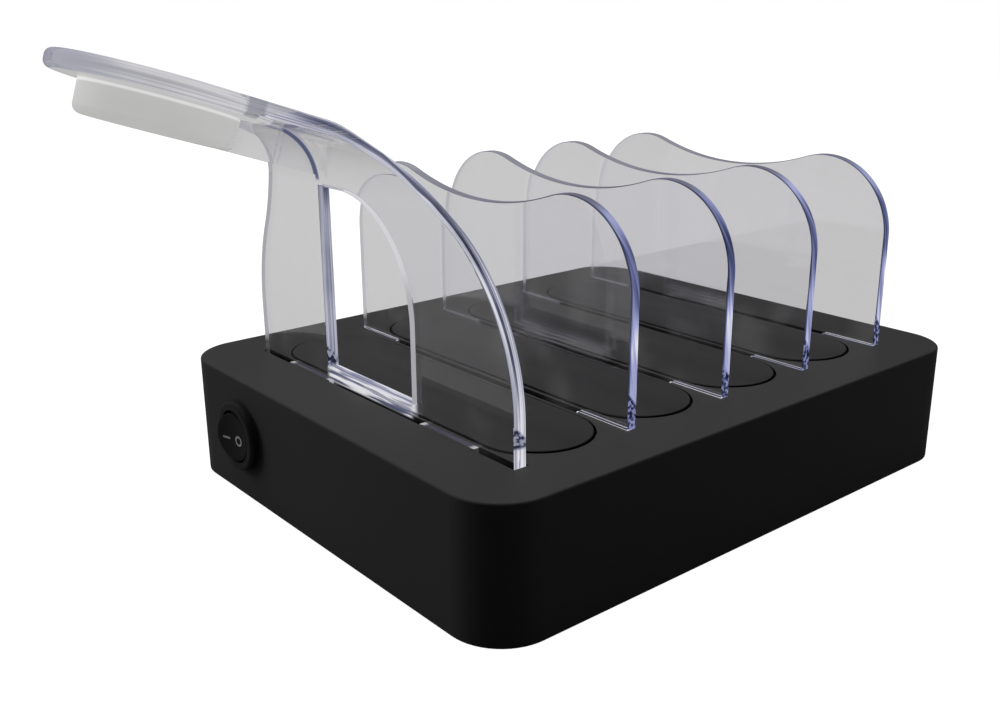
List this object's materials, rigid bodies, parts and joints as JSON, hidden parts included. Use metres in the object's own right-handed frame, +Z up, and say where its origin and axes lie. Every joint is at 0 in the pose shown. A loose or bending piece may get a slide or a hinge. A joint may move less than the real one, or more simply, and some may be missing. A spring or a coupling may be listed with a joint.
{
  "type": "desktop charging station",
  "caption": "Flat black charging base with clear wave-topped dividers between padded bays, a clear bent watch stand, a round rocker switch and charging ports in the back.",
  "frame": {"origin": "middle of the base in plan, on the plane of the foot soles", "axes": "+X along the row of dividers away from the switch side, +Y to the back with the ports, +Z up"},
  "size_m": [0.1961, 0.1274, 0.11],
  "materials": {
    "housing_black": "fine matte texture",
    "cover_black": "fine matte texture",
    "pad_black": "soft matte",
    "clear_plastic": "clear polished acrylic with blue-grey edges",
    "switch_black": "satin black",
    "foot_rubber": "matte",
    "screw_steel": "plated steel",
    "port_metal": "nickel-plated sheet",
    "port_plastic": "moulded black",
    "contact_metal": "tinned brass",
    "board_green": "coated laminate",
    "ferrite": "sintered grey",
    "winding_tape": "polyester tape",
    "can_sleeve": "shrink sleeve",
    "sink_aluminium": "extruded",
    "fuse_body": "ceramic and plated caps",
    "mains_wire": "insulated wire",
    "low_voltage_wire": "insulated wire"
  },
  "bodies": {
    "base": {"top_shell": "housing_black", "bottom_cover": "cover_black", "rubber_feet": "foot_rubber", "cover_screws": "screw_steel", "bay_pad_1": "pad_black", "bay_pad_2": "pad_black", "bay_pad_3": "pad_black", "bay_pad_4": "pad_black", "switch_housing": "switch_black", "switch_terminals": "contact_metal", "inlet_housing": "port_plastic", "inlet_pins": "contact_metal", "usb_board": "board_green", "usb_shell_1": "port_metal", "usb_shell_2": "port_metal", "usb_shell_3": "port_metal", "usb_shell_4": "port_metal", "usb_tongues": "port_plastic", "supply_board": "board_green", "transformer_core": "ferrite", "transformer_coil": "winding_tape", "bulk_capacitor": "can_sleeve", "output_capacitors": "can_sleeve", "mains_choke": "ferrite", "mains_fuse": "fuse_body", "heat_sink": "sink_aluminium", "power_transistor": "port_plastic", "board_screws": "screw_steel", "mains_leads": "mains_wire", "dc_leads": "low_voltage_wire"},
    "divider_1": {"divider_1": "clear_plastic"},
    "divider_2": {"divider_2": "clear_plastic"},
    "divider_3": {"divider_3": "clear_plastic"},
    "divider_4": {"divider_4": "clear_plastic"},
    "watch_stand": {"watch_stand": "clear_plastic"},
    "switch_rocker": {"switch_rocker": "switch_black"}
  },
  "joints": [
    {"name": "divider_1_lift", "type": "slide", "parent": "base", "child": "divider_1", "axis": [0, 0, 1], "range_m": [0, 0.012]},
    {"name": "divider_2_lift", "type": "slide", "parent": "base", "child": "divider_2", "axis": [0, 0, 1], "range_m": [0, 0.012]},
    {"name": "divider_3_lift", "type": "slide", "parent": "base", "child": "divider_3", "axis": [0, 0, 1], "range_m": [0, 0.012]},
    {"name": "divider_4_lift", "type": "slide", "parent": "base", "child": "divider_4", "axis": [0, 0, 1], "range_m": [0, 0.012]},
    {"name": "watch_stand_lift", "type": "slide", "parent": "base", "child": "watch_stand", "axis": [0, 0, 1], "range_m": [0, 0.014]},
    {"name": "rocker_turn", "type": "hinge", "parent": "base", "child": "switch_rocker", "pos_m": [-0.0791, 0.0331, 0.0175], "axis": [0, 0, -1], "range_deg": [0, 22]}
  ]
}
